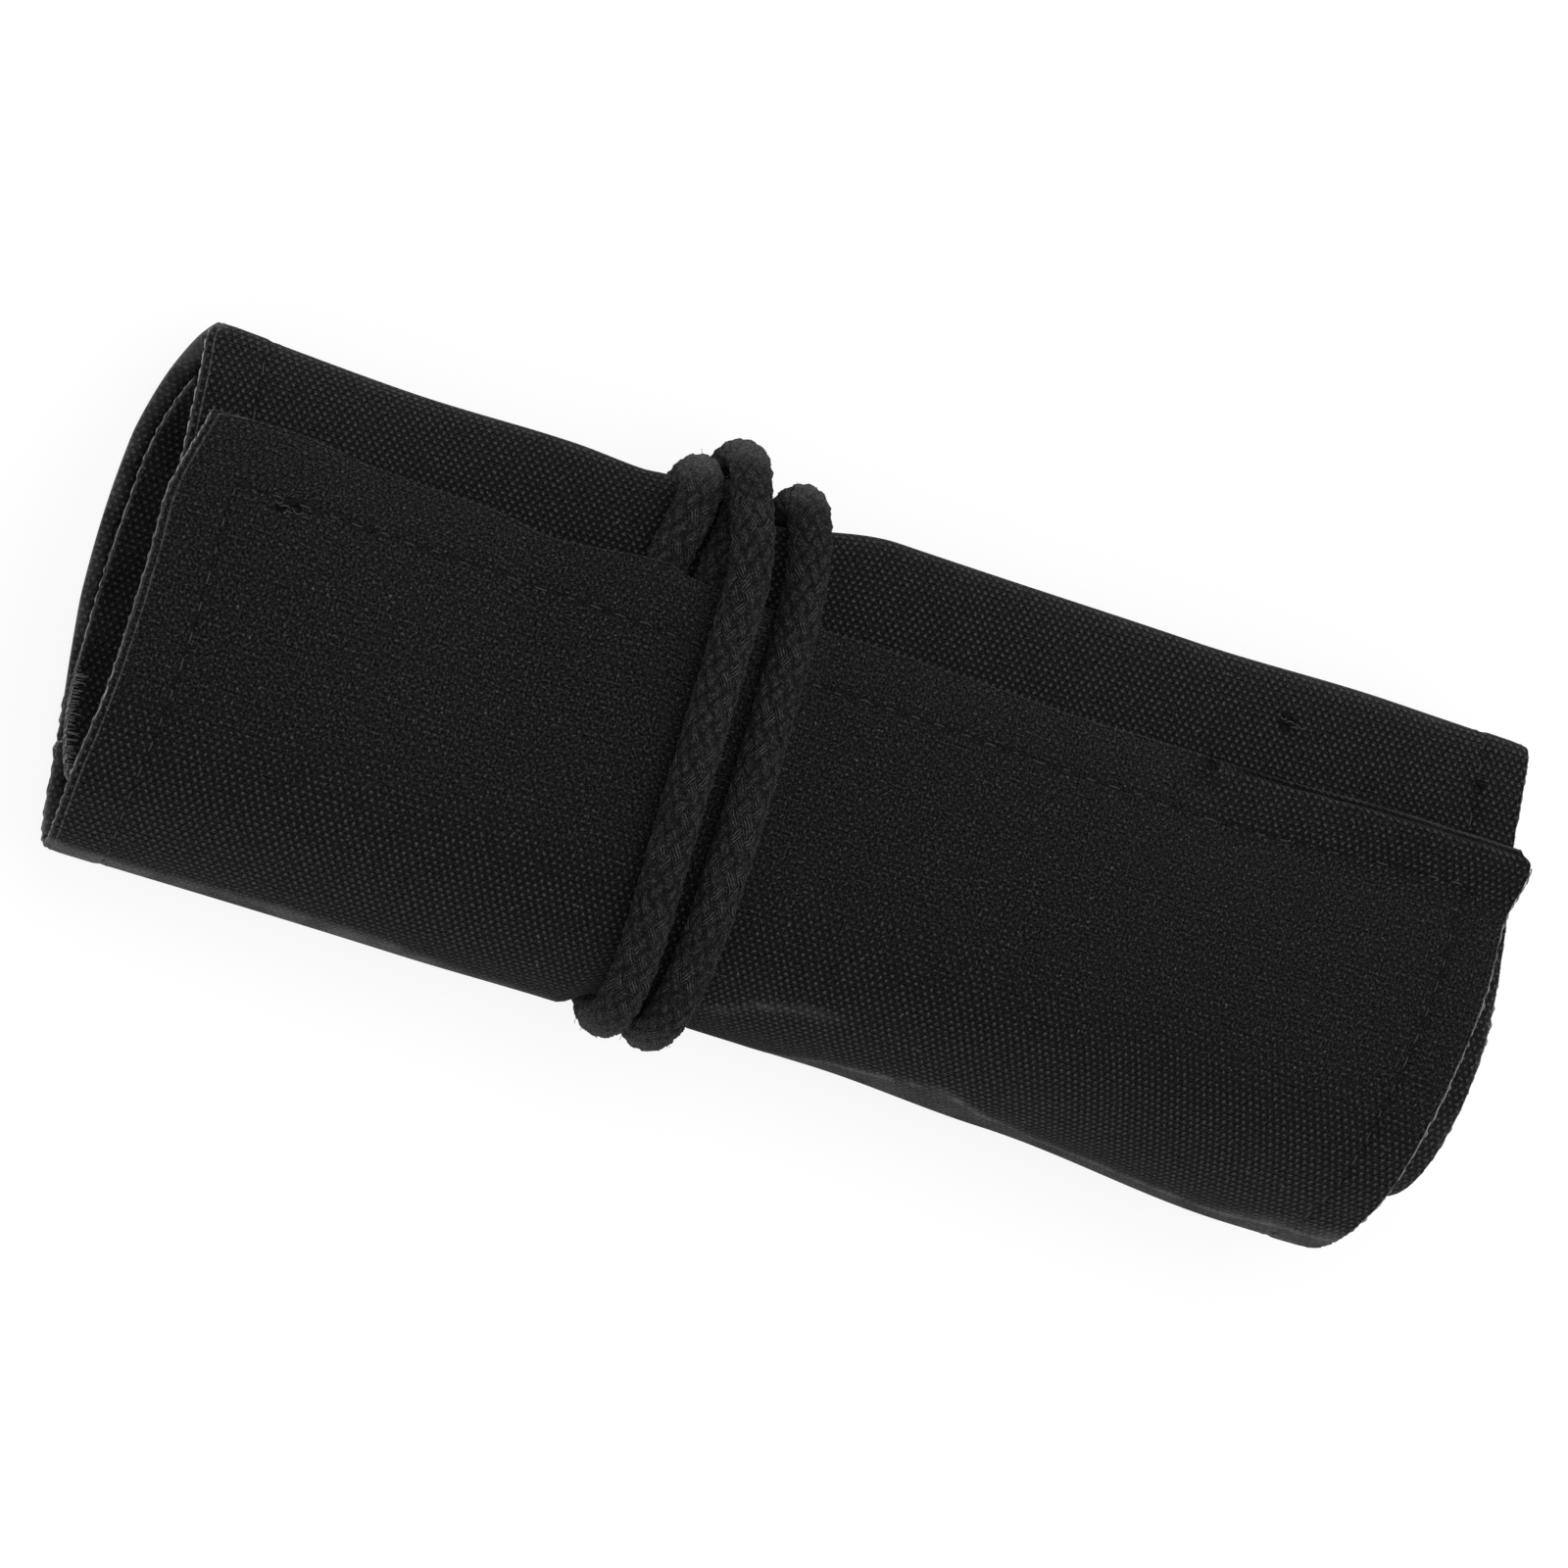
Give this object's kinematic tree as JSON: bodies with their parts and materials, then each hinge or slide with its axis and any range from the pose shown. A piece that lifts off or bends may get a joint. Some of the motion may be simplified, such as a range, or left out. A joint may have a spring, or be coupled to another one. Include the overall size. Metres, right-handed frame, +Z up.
{
  "type": "pencil roll",
  "caption": "Dark canvas pencil roll, rolled flat with an open end, a hemmed flap folded over the top, a pocket strip inside and a doubled braided cord tied round its waist.",
  "frame": {"origin": "centre of the rolled canvas's footprint, on the surface it lies on, without the tie cords", "axes": "+X along the roll towards its fuller end, +Y across the roll towards the back fold, +Z up from the surface"},
  "size_m": [0.2106, 0.0872, 0.0437],
  "materials": {
    "canvas": "matte plain-weave cotton canvas",
    "lining": "matte canvas, inner side",
    "cord": "matte braided cotton cord"
  },
  "bodies": {
    "roll": {"roll_canvas": "canvas", "roll_left_hem": "lining", "roll_right_hem": "lining", "pocket_panel": "lining"},
    "flap": {"flap_canvas": "canvas", "flap_left_hem": "lining", "flap_right_hem": "lining", "flap_end_hem": "lining"},
    "tie": {"tie_cord_a": "cord", "tie_cord_b": "cord"}
  },
  "joints": [
    {"name": "flap_open", "type": "hinge", "parent": "roll", "child": "flap", "pos_m": [0, -0.0404, 0.02], "axis": [1, 0, 0], "range_deg": [0, 165]},
    {"name": "tie_off", "type": "slide", "parent": "roll", "child": "tie", "axis": [-1, 0, 0], "range_m": [0, 0.105], "deforming": ["tie_cord_a", "tie_cord_b"]}
  ],
  "couplings": [
    {"joint": "tie_off", "follows": "flap_open", "m_per_rad": 0.036461}
  ]
}
